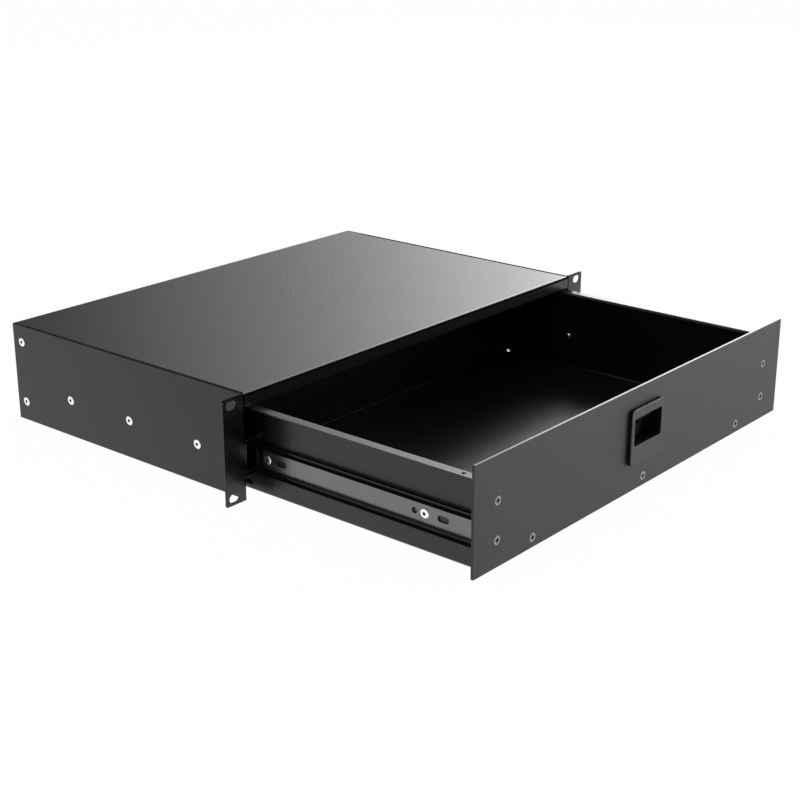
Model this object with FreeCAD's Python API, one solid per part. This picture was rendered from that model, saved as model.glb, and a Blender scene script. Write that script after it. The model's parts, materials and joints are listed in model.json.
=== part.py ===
import FreeCAD, Part
import math
import os

from FreeCAD import Vector

# A two-unit sliding drawer for a 19-inch rack, drawn with the drawer pulled out to its stop.
# Millimetres. X runs across the rack, +Y runs to the back of the rack, +Z is up.
# The origin is the centre of the four ear slots, in the front plane of the ears.
# Heights below are measured up from the lower edge of the ears, and lengths along Y from
# that front plane unless they say otherwise.

# --- Rack face ---------------------------------------------------------------------------
RACK_FACE_WIDTH = 482.6
EAR_HEIGHT = 88.1
EAR_CORNER_RADIUS = 2.0
EAR_SLOT_SPACING_ACROSS = 465.1
EAR_SLOT_SPACING_UP = 76.2
EAR_SLOT_LENGTH = 10.4
EAR_SLOT_HEIGHT = 6.8

# --- Housing -----------------------------------------------------------------------------
SHEET = 1.2
BEND_RADIUS = 1.2
HOUSING_WIDTH = 439.2
HOUSING_DEPTH = 286.0
SIDE_HEIGHT = 87.6
COVER_LIP = 11.1
COVER_SIDE_FLANGE = 12.0
COVER_SIDE_GAP = 0.3
REAR_FLANGE = 17.0
REAR_PANEL_LIFT = 1.0
REAR_RIVET_SETBACK = 11.5
REAR_RIVET_HEIGHTS = (17.6, 72.6)
FLANGE_GAP = 1.0

# --- Drawer ------------------------------------------------------------------------------
TRAVEL = 220.8
PANEL_GAP = 0.4
PANEL_WIDTH = 442.5
PANEL_HEIGHT = 86.0
PANEL_LIFT = 2.5
PANEL_THICKNESS = 2.0
PANEL_CORNER_RADIUS = 1.0
TRAY_LIFT = 2.3
TRAY_LENGTH = 281.2
HEM_WIDTH = 8.6
HEM_CLEARANCE = 1.0
HEM_END_GAP = 1.0
HEM_HOLE_DIAMETER = 3.5
HEM_HOLE_INSET = 4.0
HEM_HOLE_SETBACK = 15.0
BACK_WALL_DROP = 1.5
CORNER_SEAM = 0.3
CORNER_RELIEF_DIAMETER = 3.6
CORNER_RELIEF_INSET = 1.2
SIDE_FRONT_FLANGE = 21.0
SIDE_FRONT_FLANGE_BOTTOM = 19.5
SIDE_FRONT_FLANGE_TOP = 68.0
BOTTOM_FRONT_FLANGE = 15.0
BOTTOM_FRONT_FLANGE_INSET = 6.0
WALL_SLOT_LENGTH = 12.0
WALL_SLOT_HEIGHT = 4.0
WALL_SLOT_SETBACK = 233.0
WALL_SLOT_RISE = 6.5

# --- Panel screws and the clinch nuts behind them ---------------------------------------
SCREW_HEAD_DIAMETER = 7.2
SCREW_DIAMETER = 3.9
SCREW_LENGTH = 8.0
SCREW_HOLE_CLEARANCE = 0.2
SCREW_RECESS_SPAN = 3.6
SCREW_RECESS_WIDTH = 0.8
SCREW_RECESS_DEPTH = 1.2
CLINCH_NUT_DIAMETER = 7.5
CLINCH_NUT_LENGTH = 3.0
SIDE_SCREW_ACROSS = 193.4
SIDE_SCREW_HEIGHTS = (23.5, 53.9)
BOTTOM_SCREW_ACROSS = 150.2
BOTTOM_SCREW_HEIGHT = 10.4

# --- Ball slides -------------------------------------------------------------------------
SLIDE_SPACE = 12.2
SLIDE_HEIGHT = 33.2
RAIL_SHEET = 1.2
RAIL_BEND_RADIUS = 0.8
BALL_DIAMETER = 4.0
BALL_CLEARANCE = 0.3
BALL_HEIGHT_OFF_CENTRE = 12.9
BALL_STANDOFF = 3.5
RACE_DEPTH = 0.9
INNER_RAIL_DEPTH = 5.8
INNER_RAIL_RETURN = 0.8
INNER_RAIL_FRONT_GAP = 0.5
INNER_RAIL_LENGTH = 259.7
OUTER_RAIL_DEPTH = 10.8
OUTER_RAIL_SETBACK = 2.0
OUTER_RAIL_REAR_GAP = 3.0
CAGE_SHEET = 0.8
CAGE_LENGTH = 31.0
CAGE_SETBACK = 3.0
CAGE_STANDOFF = 4.5
CAGE_FLANGE_PAST_BALL = 0.6
BALLS_PER_ROW = 3
BALL_PITCH = 9.5
BALL_POCKET_CLEARANCE = 0.15
RAIL_SLOT_LENGTH = 10.5
RAIL_SLOT_HEIGHT = 5.0
RAIL_HOLE_DIAMETER = 5.0
RAIL_SLOT_SETBACKS = (35.2, 194.4)
RAIL_HOLE_SETBACK = 61.7
RAIL_RIVET_SETBACKS = (52.2, 209.2)
SLIDE_RIVET_SETBACKS = (54.0, 135.8, 211.6)
BUMPER_LENGTH = 5.5
BUMPER_DEPTH = 7.6

# --- Blind rivets ------------------------------------------------------------------------
RIVET_HEAD_DIAMETER = 8.0
RIVET_HEAD_HEIGHT = 1.8
RIVET_SHOULDER_DIAMETER = 6.0
RIVET_SHOULDER_HEIGHT = 1.3
RIVET_SHANK_DIAMETER = 4.0
RIVET_HOLE_CLEARANCE = 0.2
RIVET_TAIL_DIAMETER = 5.8
RIVET_TAIL_LENGTH = 2.4
RIVET_MANDREL_DIAMETER = 2.2
RIVET_MANDREL_DEPTH = 1.2

# --- Slam latch --------------------------------------------------------------------------
LATCH_OFFSET = -2.5
LATCH_HEIGHT_CENTRE = 49.35
LATCH_WIDTH = 47.5
LATCH_HEIGHT = 46.7
LATCH_PROUD = 3.8
LATCH_CORNER_RADIUS = 5.0
LATCH_EDGE_CHAMFER = 0.4
LATCH_SIDE_BAR = 4.05
LATCH_TOP_BAR = 7.4
POCKET_HEIGHT = 23.1
POCKET_CORNER_RADIUS = 1.2
POCKET_DEPTH = 8.0
LATCH_WALL = 1.4
LATCH_FLANGE_OVERLAP = 2.0
LATCH_CUTOUT_CLEARANCE = 0.2
LUG_REACH = 1.3
LUG_LENGTH = 2.6
LUG_WIDTH = 6.0
BOLT_TRAVEL = 6.8
BOLT_WIDTH = 20.0
BOLT_THICKNESS = 4.0
BOLT_CLEARANCE = 0.3
BOLT_FLANGE_GAP = 0.5
BOLT_ENGAGEMENT = 6.0
BOLT_HEAD_HEIGHT = 4.4
BOLT_NOSE = 0.8
TRIGGER_WIDTH = 34.0
TRIGGER_NECK_WIDTH = 16.0
TRIGGER_HEIGHT = 6.5
TRIGGER_LIP = 2.0
TRIGGER_REACH = 6.0
SPRING_DIAMETER = 3.6
SPRING_WIRE = 0.6
SPRING_TURNS = 5
SPRING_SPACING = 11.0
SPRING_SPACE = 14.0
LATCH_PLATE_SHEET = 1.0
LATCH_SCREW_DIAMETER = 2.6
LATCH_SCREW_HEAD_DIAMETER = 5.0
LATCH_SCREW_HEAD_HEIGHT = 1.6
LATCH_SCREW_HEAD_CHAMFER = 0.6
LATCH_SCREW_LENGTH = 6.0
LATCH_SCREW_INSET = 5.2
LATCH_SCREW_TIP_GAP = 0.5

# --- How small round pieces are drawn ----------------------------------------------------
FASTENER_SIDES = 10
BALL_SIDES = 8
BALL_BANDS = 5
SPRING_STEPS_PER_TURN = 8

# --- Planes that several pieces share ----------------------------------------------------
BASE = -EAR_HEIGHT / 2.0
side_outer = HOUSING_WIDTH / 2.0
side_inner = side_outer - SHEET
wall_outer = side_inner - SLIDE_SPACE
wall_inner = wall_outer - SHEET
panel_back = -(TRAVEL + PANEL_GAP)
panel_front = panel_back - PANEL_THICKNESS
tray_back = panel_back + TRAY_LENGTH
cover_bottom = BASE + SIDE_HEIGHT - SHEET
cover_side = side_inner - COVER_SIDE_GAP
lip_bottom = BASE + SIDE_HEIGHT - COVER_LIP
hem_top = lip_bottom - HEM_CLEARANCE
tray_bottom = BASE + TRAY_LIFT
floor_top = tray_bottom + SHEET
slide_z = BASE + SLIDE_HEIGHT
rear_flange_front = HOUSING_DEPTH - REAR_FLANGE
race_radius = BALL_DIAMETER / 2.0 + BALL_CLEARANCE
inner_flange_offset = BALL_HEIGHT_OFF_CENTRE - race_radius + RACE_DEPTH
outer_flange_offset = BALL_HEIGHT_OFF_CENTRE + race_radius - RACE_DEPTH
inner_rail_front = panel_back + INNER_RAIL_FRONT_GAP
inner_rail_back = inner_rail_front + INNER_RAIL_LENGTH
outer_rail_back = rear_flange_front - OUTER_RAIL_REAR_GAP
ball_x = wall_outer + BALL_STANDOFF


# --- Small tools for folded sheet and turned pieces -------------------------------------
TOUCHING = 1e-6


def xz(a, b):
    return Vector(a, 0, b)


def xy(a, b):
    return Vector(a, b, 0)


def yz(a, b):
    return Vector(0, a, b)


def box(x0, x1, y0, y1, z0, z1):
    return Part.makeBox(x1 - x0, y1 - y0, z1 - z0, Vector(x0, y0, z0))


def rod(radius, length, start, direction):
    return Part.makeCylinder(radius, length, Vector(*start), Vector(*direction))


def flat_ring(radius, height, sides):
    """The corners of a regular polygon round the Z axis, placed the same way at every size."""
    step = 2.0 * math.pi / sides
    angles = [(index + 0.5) * step for index in range(sides)]
    return [Vector(radius * math.cos(angle), radius * math.sin(angle), height) for angle in angles]


def polygon_face(points):
    return Part.Face(Part.makePolygon(points + [points[0]]))


def closed_solid(faces):
    """The solid inside a set of flat faces that close on each other."""
    solid = Part.makeSolid(Part.makeShell(faces))
    if solid.Volume < 0:
        solid.reverse()
    return solid.removeSplitter()


def turned(outline, centre, direction, sides=FASTENER_SIDES):
    """A small turned piece drawn with flats, which keeps a model full of fasteners light.

    The outline holds (radius, distance along the axis) points, from the axis back to the axis."""
    faces = []
    for (radius_a, height_a), (radius_b, height_b) in zip(outline, outline[1:]):
        ring_a = flat_ring(radius_a, height_a, sides)
        ring_b = flat_ring(radius_b, height_b, sides)
        if abs(height_a - height_b) < TOUCHING and min(radius_a, radius_b) < TOUCHING:
            faces.append(polygon_face(ring_a if radius_a > radius_b else ring_b))
            continue
        for index in range(sides):
            after = (index + 1) % sides
            if radius_a < TOUCHING:
                corners = [ring_a[0], ring_b[index], ring_b[after]]
            elif radius_b < TOUCHING:
                corners = [ring_a[index], ring_a[after], ring_b[0]]
            else:
                corners = [ring_a[index], ring_a[after], ring_b[after], ring_b[index]]
            faces.append(polygon_face(corners))
    return aimed(closed_solid(faces), centre, direction)


def pin(radius, length, start, direction):
    """A small shank, or the hole for one."""
    return turned([(0, 0), (radius, 0), (radius, length), (0, length)], start, direction)


def left_of(start, end):
    """The unit normal on the left hand of a step from start to end."""
    length = math.hypot(end[0] - start[0], end[1] - start[1])
    return (-(end[1] - start[1]) / length, (end[0] - start[0]) / length)


def shifted(points, distance):
    """The open outline moved sideways to its left by a distance, with its corners mitred."""
    normals = [left_of(a, b) for a, b in zip(points, points[1:])]
    normals = [normals[0]] + normals + [normals[-1]]
    moved = []
    for point, before, after in zip(points, normals, normals[1:]):
        scale = distance / (1.0 + before[0] * after[0] + before[1] * after[1])
        moved.append(
            (point[0] + scale * (before[0] + after[0]), point[1] + scale * (before[1] + after[1]))
        )
    return moved


def turn_at(points, index):
    """How far the outline turns at a point, in radians, positive to the left."""
    first = left_of(points[index - 1], points[index])
    second = left_of(points[index], points[index + 1])
    across = first[0] * second[1] - first[1] * second[0]
    along = first[0] * second[0] + first[1] * second[1]
    return math.atan2(across, along)


def straight(start, end, plane):
    """A straight edge, or none where two bends meet."""
    if math.hypot(end[0] - start[0], end[1] - start[1]) < TOUCHING:
        return []
    return [Part.LineSegment(plane(*start), plane(*end)).toShape()]


def rounded(points, radii, plane):
    """Edges along an open outline, each inner corner rounded to its own radius."""
    edges = []
    start = points[0]
    for index in range(1, len(points) - 1):
        corner = points[index]
        radius = radii[index - 1]
        turn = turn_at(points, index)
        back_off = radius * math.tan(abs(turn) / 2.0)
        normal_in = left_of(points[index - 1], corner)
        normal_out = left_of(corner, points[index + 1])
        before = (corner[0] - normal_in[1] * back_off, corner[1] + normal_in[0] * back_off)
        after = (corner[0] + normal_out[1] * back_off, corner[1] - normal_out[0] * back_off)
        side = math.copysign(1.0, turn)
        centre = (before[0] + side * normal_in[0] * radius, before[1] + side * normal_in[1] * radius)
        half = (normal_in[0] + normal_out[0], normal_in[1] + normal_out[1])
        reach = side * radius / math.hypot(*half)
        middle = (centre[0] - half[0] * reach, centre[1] - half[1] * reach)
        edges += straight(start, before, plane)
        edges.append(Part.Arc(plane(*before), plane(*middle), plane(*after)).toShape())
        start = after
    return edges + straight(start, points[-1], plane)


def folded(points, thickness, inside_radius, plane, run):
    """A folded sheet: points lie on its right-hand face, and it runs along one direction."""
    turns = [turn_at(points, index) for index in range(1, len(points) - 1)]
    near = [inside_radius + (thickness if turn > 0 else 0.0) for turn in turns]
    far = [inside_radius + (0.0 if turn > 0 else thickness) for turn in turns]
    other = shifted(points, thickness)
    edges = rounded(points, near, plane)
    edges += straight(points[-1], other[-1], plane)
    edges += rounded(other[::-1], far[::-1], plane)
    edges += straight(other[0], points[0], plane)
    return Part.Face(Part.Wire(edges)).extrude(run)


def rounded_block(x0, x1, y0, y1, z0, z1, radius):
    """A block whose four edges along Y are rounded."""
    block = box(x0, x1, y0, y1, z0, z1)
    along = [e for e in block.Edges if abs(e.tangentAt(e.FirstParameter).y) > 0.99]
    return block.makeFillet(radius, along)


def obround(length, height, depth, centre):
    """A slot's tool: long along X, as deep as given along Y, and centred on a point."""
    x, y, z = centre
    half = (length - height) / 2.0
    tool = box(x - half, x + half, y - depth / 2.0, y + depth / 2.0, z - height / 2.0, z + height / 2.0)
    for end in (-half, half):
        tool = tool.fuse(rod(height / 2.0, depth, (x + end, y - depth / 2.0, z), (0, 1, 0)))
    return tool.removeSplitter()


def side_obround(length, height, depth, centre):
    """The same slot in a side wall: long along Y, and deep along X."""
    tool = obround(length, height, depth, (0, 0, 0))
    tool.rotate(Vector(0, 0, 0), Vector(0, 0, 1), 90)
    tool.translate(Vector(*centre))
    return tool


def aimed(solid, centre, direction):
    """A solid drawn along +Z, turned to point along a direction and set at its centre."""
    turn = FreeCAD.Rotation(Vector(0, 0, 1), Vector(*direction))
    solid.Placement = FreeCAD.Placement(Vector(*centre), turn)
    return solid


def mirrored(shape):
    return shape.mirror(Vector(0, 0, 0), Vector(1, 0, 0))


def cut_all(shape, tools):
    return shape.cut(Part.makeCompound(tools)) if tools else shape


def write(name, solids):
    """One STEP file for a node that holds one solid or several separate ones."""
    flat = [solid for shape in solids for solid in shape.Solids]
    for solid in flat:
        assert solid.isValid(), name
    shape = flat[0] if len(flat) == 1 else Part.makeCompound(flat)
    shape.exportStep("parts/" + name + ".step")
    print(name, len(flat), "solids", round(sum(solid.Volume for solid in flat) / 1000.0, 2), "cm3")


def write_pair(name, solids):
    """The left-hand piece and its mirror image on the right."""
    write("left_" + name, solids)
    write("right_" + name, [mirrored(solid) for solid in solids])


# --- Blind rivets ------------------------------------------------------------------------
def blind_rivet(grip, centre, direction):
    """A domed rivet whose head sits on a face at centre and points outwards."""
    head = RIVET_HEAD_DIAMETER / 2.0
    shank = RIVET_SHANK_DIAMETER / 2.0
    mandrel = RIVET_MANDREL_DIAMETER / 2.0
    recess = RIVET_HEAD_HEIGHT - RIVET_MANDREL_DEPTH
    outline = [
        (0, -grip - RIVET_TAIL_LENGTH),
        (RIVET_TAIL_DIAMETER / 2.0, -grip - RIVET_TAIL_LENGTH),
        (shank, -grip),
        (shank, 0),
        (head, 0),
        (RIVET_SHOULDER_DIAMETER / 2.0, RIVET_SHOULDER_HEIGHT),
        (mandrel, RIVET_HEAD_HEIGHT),
        (mandrel, recess),
        (0, recess),
    ]
    return turned(outline, centre, direction)


def rivet_hole(centre, depth):
    """The tool for a rivet hole through a side wall, centred on a point."""
    radius = (RIVET_SHANK_DIAMETER + RIVET_HOLE_CLEARANCE) / 2.0
    return pin(radius, depth, (centre[0] - depth / 2.0, centre[1], centre[2]), (1, 0, 0))


slide_rivet_places = [(y, slide_z) for y in SLIDE_RIVET_SETBACKS]
rear_rivet_places = [(HOUSING_DEPTH - REAR_RIVET_SETBACK, BASE + z) for z in REAR_RIVET_HEIGHTS]
rail_rivet_places = [(panel_back + y, slide_z) for y in RAIL_RIVET_SETBACKS]


# --- Housing -----------------------------------------------------------------------------
def left_side_panel():
    """The side wall and the rack ear, folded from one sheet."""
    plan = [(-RACK_FACE_WIDTH / 2.0, 0), (-side_inner, 0), (-side_inner, HOUSING_DEPTH)]
    panel = folded(plan, SHEET, BEND_RADIUS, xy, Vector(0, 0, EAR_HEIGHT))
    panel.translate(Vector(0, 0, BASE))
    fold = SHEET + BEND_RADIUS
    above_side = box(
        -side_outer - fold, 0, fold, HOUSING_DEPTH, BASE + SIDE_HEIGHT, BASE + EAR_HEIGHT + SHEET
    )
    panel = panel.cut(above_side)
    ear_edge = -RACK_FACE_WIDTH / 2.0
    corners = [e for e in panel.Edges if abs(e.CenterOfMass.x - ear_edge) < 0.01 and e.Length < 2 * SHEET]
    panel = panel.makeFillet(EAR_CORNER_RADIUS, [e for e in corners if abs(e.tangentAt(0).y) > 0.99])
    tools = []
    for up in (-1, 1):
        slot_centre = (-EAR_SLOT_SPACING_ACROSS / 2.0, SHEET / 2.0, up * EAR_SLOT_SPACING_UP / 2.0)
        tools.append(obround(EAR_SLOT_LENGTH, EAR_SLOT_HEIGHT, 3 * SHEET, slot_centre))
    for y, z in slide_rivet_places + rear_rivet_places:
        tools.append(rivet_hole((-side_outer, y, z), 4 * SHEET))
    return cut_all(panel, tools)


def top_cover():
    """The top sheet, with a lip at the front and a flange inside each side panel."""
    flange_bottom = BASE + SIDE_HEIGHT - COVER_SIDE_FLANGE
    top = BASE + SIDE_HEIGHT
    fold = SHEET + BEND_RADIUS
    section = [
        (-cover_side, flange_bottom),
        (-cover_side, top),
        (cover_side, top),
        (cover_side, flange_bottom),
    ]
    body_end = rear_flange_front - FLANGE_GAP
    cover = folded(section[::-1], SHEET, BEND_RADIUS, xz, Vector(0, body_end - fold, 0))
    cover.translate(Vector(0, fold, 0))
    rear_sheet = box(-cover_side, cover_side, body_end, HOUSING_DEPTH, top - SHEET, top)
    profile = [(fold, top), (0, top), (0, lip_bottom)]
    lip = folded(profile, SHEET, BEND_RADIUS, yz, Vector(2 * cover_side, 0, 0))
    lip.translate(Vector(-cover_side, 0, 0))
    return cover.fuse([rear_sheet, lip]).removeSplitter()


def rear_panel():
    """The closing sheet at the back, with a flange that each side panel is riveted to."""
    plan = [
        (-side_inner, rear_flange_front),
        (-side_inner, HOUSING_DEPTH),
        (side_inner, HOUSING_DEPTH),
        (side_inner, rear_flange_front),
    ]
    bottom = BASE + REAR_PANEL_LIFT
    panel = folded(plan[::-1], SHEET, BEND_RADIUS, xy, Vector(0, 0, cover_bottom - bottom))
    panel.translate(Vector(0, 0, bottom))
    tools = []
    for y, z in rear_rivet_places:
        tools.append(rivet_hole((-side_inner, y, z), 4 * SHEET))
        tools.append(rivet_hole((side_inner, y, z), 4 * SHEET))
    return cut_all(panel, tools)


# --- Ball slides -------------------------------------------------------------------------
def rail(section_points, flange_face, y0, y1):
    """A rolled rail: a folded channel with a ball race swelling out of each flange."""
    length = y1 - y0
    channel = folded(section_points, RAIL_SHEET, RAIL_BEND_RADIUS, xz, Vector(0, length, 0))
    x0, x1 = sorted({x for x, z in section_points})
    beyond = 2 * RAIL_SHEET
    for up in (-1, 1):
        ball_z = slide_z + up * BALL_HEIGHT_OFF_CENTRE
        face = slide_z + up * flange_face
        far = face + math.copysign(beyond, face - ball_z)
        swell = rod(race_radius + RAIL_SHEET, length, (-ball_x, 0, ball_z), (0, 1, 0))
        channel = channel.fuse(swell.common(box(x0, x1, 0, length, min(face, far), max(face, far))))
        channel = channel.cut(rod(race_radius, length, (-ball_x, 0, ball_z), (0, 1, 0)))
    channel.translate(Vector(0, y0, 0))
    return channel.removeSplitter()


def left_outer_rail():
    """The rail riveted inside the housing. It opens towards the drawer."""
    outer = outer_flange_offset + RAIL_SHEET
    x_lip = -side_inner + OUTER_RAIL_DEPTH
    points = [
        (x_lip, slide_z + outer),
        (-side_inner, slide_z + outer),
        (-side_inner, slide_z - outer),
        (x_lip, slide_z - outer),
    ]
    shape = rail(points, outer_flange_offset, OUTER_RAIL_SETBACK, outer_rail_back)
    return cut_all(shape, [rivet_hole((-side_inner, y, z), 4 * RAIL_SHEET) for y, z in slide_rivet_places])


def left_inner_rail():
    """The rail riveted to the drawer. It opens towards the housing."""
    x_lip = -wall_outer - INNER_RAIL_DEPTH
    points = [
        (x_lip, slide_z - inner_flange_offset),
        (-wall_outer, slide_z - inner_flange_offset),
        (-wall_outer, slide_z + inner_flange_offset),
        (x_lip, slide_z + inner_flange_offset),
    ]
    shape = rail(points, inner_flange_offset, inner_rail_front, inner_rail_back)
    flange_inside = inner_flange_offset - RAIL_SHEET
    returns = []
    for up in (-1, 1):
        z0, z1 = sorted((slide_z + up * flange_inside, slide_z + up * (flange_inside - INNER_RAIL_RETURN)))
        returns.append(box(x_lip, x_lip + RAIL_SHEET, inner_rail_front, inner_rail_back, z0, z1))
    shape = shape.fuse(returns).removeSplitter()
    tools = [rivet_hole((-wall_outer, y, z), 4 * RAIL_SHEET) for y, z in rail_rivet_places]
    for y in RAIL_SLOT_SETBACKS:
        slot_centre = (-wall_outer, panel_back + y, slide_z)
        tools.append(side_obround(RAIL_SLOT_LENGTH, RAIL_SLOT_HEIGHT, 4 * RAIL_SHEET, slot_centre))
    hole_start = (-wall_outer - 2 * RAIL_SHEET, panel_back + RAIL_HOLE_SETBACK, slide_z)
    tools.append(rod(RAIL_HOLE_DIAMETER / 2.0, 4 * RAIL_SHEET, hole_start, (1, 0, 0)))
    return cut_all(shape, tools)


def ball_places():
    first = OUTER_RAIL_SETBACK + CAGE_SETBACK + (CAGE_LENGTH - (BALLS_PER_ROW - 1) * BALL_PITCH) / 2.0
    places = []
    for index in range(BALLS_PER_ROW):
        for up in (-1, 1):
            places.append((-ball_x, first + index * BALL_PITCH, slide_z + up * BALL_HEIGHT_OFF_CENTRE))
    return places


def left_ball_cage():
    """The thin channel that keeps the balls apart. It runs at half the drawer's speed."""
    x_web = -side_inner + CAGE_STANDOFF
    x_end = -ball_x + race_radius + CAGE_FLANGE_PAST_BALL
    reach = BALL_HEIGHT_OFF_CENTRE + CAGE_SHEET / 2.0
    top = slide_z + reach
    bottom = slide_z - reach
    points = [(x_end, top), (x_web, top), (x_web, bottom), (x_end, bottom)]
    cage = folded(points, CAGE_SHEET, CAGE_SHEET, xz, Vector(0, CAGE_LENGTH, 0))
    cage.translate(Vector(0, OUTER_RAIL_SETBACK + CAGE_SETBACK, 0))
    pocket = BALL_DIAMETER / 2.0 + BALL_POCKET_CLEARANCE
    tools = [pin(pocket, 4 * CAGE_SHEET, (x, y, z - 2 * CAGE_SHEET), (0, 0, 1)) for x, y, z in ball_places()]
    return cut_all(cage, tools)


def ball(place):
    radius = BALL_DIAMETER / 2.0
    angles = [math.pi * (index / BALL_BANDS - 0.5) for index in range(BALL_BANDS + 1)]
    outline = [(radius * math.cos(angle), radius * math.sin(angle)) for angle in angles]
    return turned(outline, place, (0, 0, 1), BALL_SIDES)


def left_rail_bumper():
    """The rubber stop at the closed end of the outer rail."""
    reach = outer_flange_offset - BALL_DIAMETER
    x_web = -side_inner + RAIL_SHEET
    x_face = x_web + BUMPER_DEPTH
    bumper_front = outer_rail_back - BUMPER_LENGTH
    block = box(x_web, x_face, bumper_front, outer_rail_back, slide_z - reach, slide_z + reach)
    upright = [e for e in block.Edges if e.CenterOfMass.x > x_face - 0.01 and e.Length > BUMPER_DEPTH]
    return block.makeChamfer(BUMPER_LENGTH / 4.0, upright)


# --- Drawer ------------------------------------------------------------------------------
screw_places = [(side * SIDE_SCREW_ACROSS, BASE + z) for side in (-1, 1) for z in SIDE_SCREW_HEIGHTS]
screw_places += [(side * BOTTOM_SCREW_ACROSS, BASE + BOTTOM_SCREW_HEIGHT) for side in (-1, 0, 1)]


def drawer_tray():
    """The tray: floor, side walls with outward hems, back wall and front flanges in one sheet."""
    fold = SHEET + BEND_RADIUS
    hem_edge = wall_outer + HEM_WIDTH
    hem_bottom = hem_top - SHEET
    section = [
        (-hem_edge, hem_bottom),
        (-wall_outer, hem_bottom),
        (-wall_outer, tray_bottom),
        (wall_outer, tray_bottom),
        (wall_outer, hem_bottom),
        (hem_edge, hem_bottom),
    ]
    body_front = panel_back + fold
    body = folded(section, SHEET, BEND_RADIUS, xz, Vector(0, tray_back - body_front, 0))
    body.translate(Vector(0, body_front, 0))
    hem_front = panel_back + HEM_END_GAP
    pieces = []
    for side in (-1, 1):
        x_inner = wall_outer + BEND_RADIUS
        x0, x1 = sorted((side * x_inner, side * hem_edge))
        pieces.append(box(x0, x1, hem_front, body_front, hem_bottom, hem_top))
        flange_end = side * (wall_outer - SIDE_FRONT_FLANGE)
        plan = [(side * wall_outer, body_front), (side * wall_outer, panel_back), (flange_end, panel_back)]
        if side > 0:
            plan = plan[::-1]
        flange_height = SIDE_FRONT_FLANGE_TOP - SIDE_FRONT_FLANGE_BOTTOM
        flange = folded(plan, SHEET, BEND_RADIUS, xy, Vector(0, 0, flange_height))
        flange.translate(Vector(0, 0, BASE + SIDE_FRONT_FLANGE_BOTTOM))
        pieces.append(flange)
    flange_top = tray_bottom + BOTTOM_FRONT_FLANGE
    profile = [(panel_back, flange_top), (panel_back, tray_bottom), (body_front, tray_bottom)]
    reach = wall_inner - BOTTOM_FRONT_FLANGE_INSET
    bottom_flange = folded(profile, SHEET, BEND_RADIUS, yz, Vector(2 * reach, 0, 0))
    bottom_flange.translate(Vector(-reach, 0, 0))
    pieces.append(bottom_flange)
    back_fold = tray_back - fold
    half_floor = wall_inner - BEND_RADIUS
    body = body.cut(box(-half_floor, half_floor, back_fold, tray_back, tray_bottom - SHEET, floor_top))
    back_top = hem_top - BACK_WALL_DROP
    profile = [(back_fold, tray_bottom), (tray_back, tray_bottom), (tray_back, back_top)]
    back_bend = folded(profile, SHEET, BEND_RADIUS, yz, Vector(2 * half_floor, 0, 0))
    back_bend.translate(Vector(-half_floor, 0, 0))
    pieces.append(back_bend)
    back_end = wall_inner - CORNER_SEAM
    pieces.append(box(-back_end, back_end, tray_back - SHEET, tray_back, tray_bottom + fold, back_top))
    tray = body.fuse(pieces).removeSplitter()
    wall_slot = (-wall_outer, panel_back + WALL_SLOT_SETBACK, tray_bottom + WALL_SLOT_RISE)
    tools = [side_obround(WALL_SLOT_LENGTH, WALL_SLOT_HEIGHT, 4 * SHEET, wall_slot)]
    for side in (-1, 1):
        hole = (side * (hem_edge - HEM_HOLE_INSET), panel_back + HEM_HOLE_SETBACK, hem_top - 2 * SHEET)
        tools.append(rod(HEM_HOLE_DIAMETER / 2.0, 3 * SHEET, hole, (0, 0, 1)))
        for y, z in rail_rivet_places:
            tools.append(rivet_hole((side * wall_outer, y, z), 4 * SHEET))
        relief = (side * (wall_inner - CORNER_RELIEF_INSET), tray_back + SHEET, floor_top)
        tools.append(rod(CORNER_RELIEF_DIAMETER / 2.0, 4 * SHEET, relief, (0, -1, 0)))
    for x, z in screw_places:
        start = (x, panel_back - SHEET, z)
        tools.append(pin((SCREW_DIAMETER + SCREW_HOLE_CLEARANCE) / 2.0, 3 * SHEET, start, (0, 1, 0)))
    return cut_all(tray, tools)


def flat_head_screw(x, z, length, grow):
    """A flat-head screw flush with the panel's front. Grown a little, it is the tool for its hole."""
    head = SCREW_HEAD_DIAMETER / 2.0 + grow
    shank = SCREW_DIAMETER / 2.0 + grow
    outline = [(0, 0), (head, 0), (shank, head - shank), (shank, length), (0, length)]
    return turned(outline, (x, panel_front, z), (0, 1, 0))


def front_panel():
    """The flat panel, countersunk for its screws and cut out for the latch."""
    top = BASE + PANEL_LIFT + PANEL_HEIGHT
    half = PANEL_WIDTH / 2.0
    panel = rounded_block(-half, half, panel_front, panel_back, BASE + PANEL_LIFT, top, PANEL_CORNER_RADIUS)
    grow = SCREW_HOLE_CLEARANCE / 2.0
    tools = [flat_head_screw(x, z, 2 * PANEL_THICKNESS, grow) for x, z in screw_places]
    cut_x, cut_z0, cut_z1 = latch_body_box(LATCH_CUTOUT_CLEARANCE)
    tools.append(
        box(LATCH_OFFSET - cut_x, LATCH_OFFSET + cut_x, panel_front - 1, panel_back + 1, cut_z0, cut_z1)
    )
    return cut_all(panel, tools)


def panel_screw(x, z):
    """A countersunk cross-head screw."""
    screw = flat_head_screw(x, z, SCREW_LENGTH, 0.0)
    arm = SCREW_RECESS_SPAN / 2.0
    slim = SCREW_RECESS_WIDTH / 2.0
    deep = panel_front + SCREW_RECESS_DEPTH
    across = box(x - arm, x + arm, panel_front - 1, deep, z - slim, z + slim)
    upright = box(x - slim, x + slim, panel_front - 1, deep, z - arm, z + arm)
    return screw.cut(across.fuse(upright)).removeSplitter()


def clinch_nut(x, z):
    """The round nut pressed on the back of a tray flange, behind a panel screw."""
    start = (x, panel_back + SHEET, z)
    nut = pin(CLINCH_NUT_DIAMETER / 2.0, CLINCH_NUT_LENGTH, start, (0, 1, 0))
    hole = pin((SCREW_DIAMETER + SCREW_HOLE_CLEARANCE) / 2.0, 3 * CLINCH_NUT_LENGTH, start, (0, 1, 0))
    return nut.cut(hole)


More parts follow.
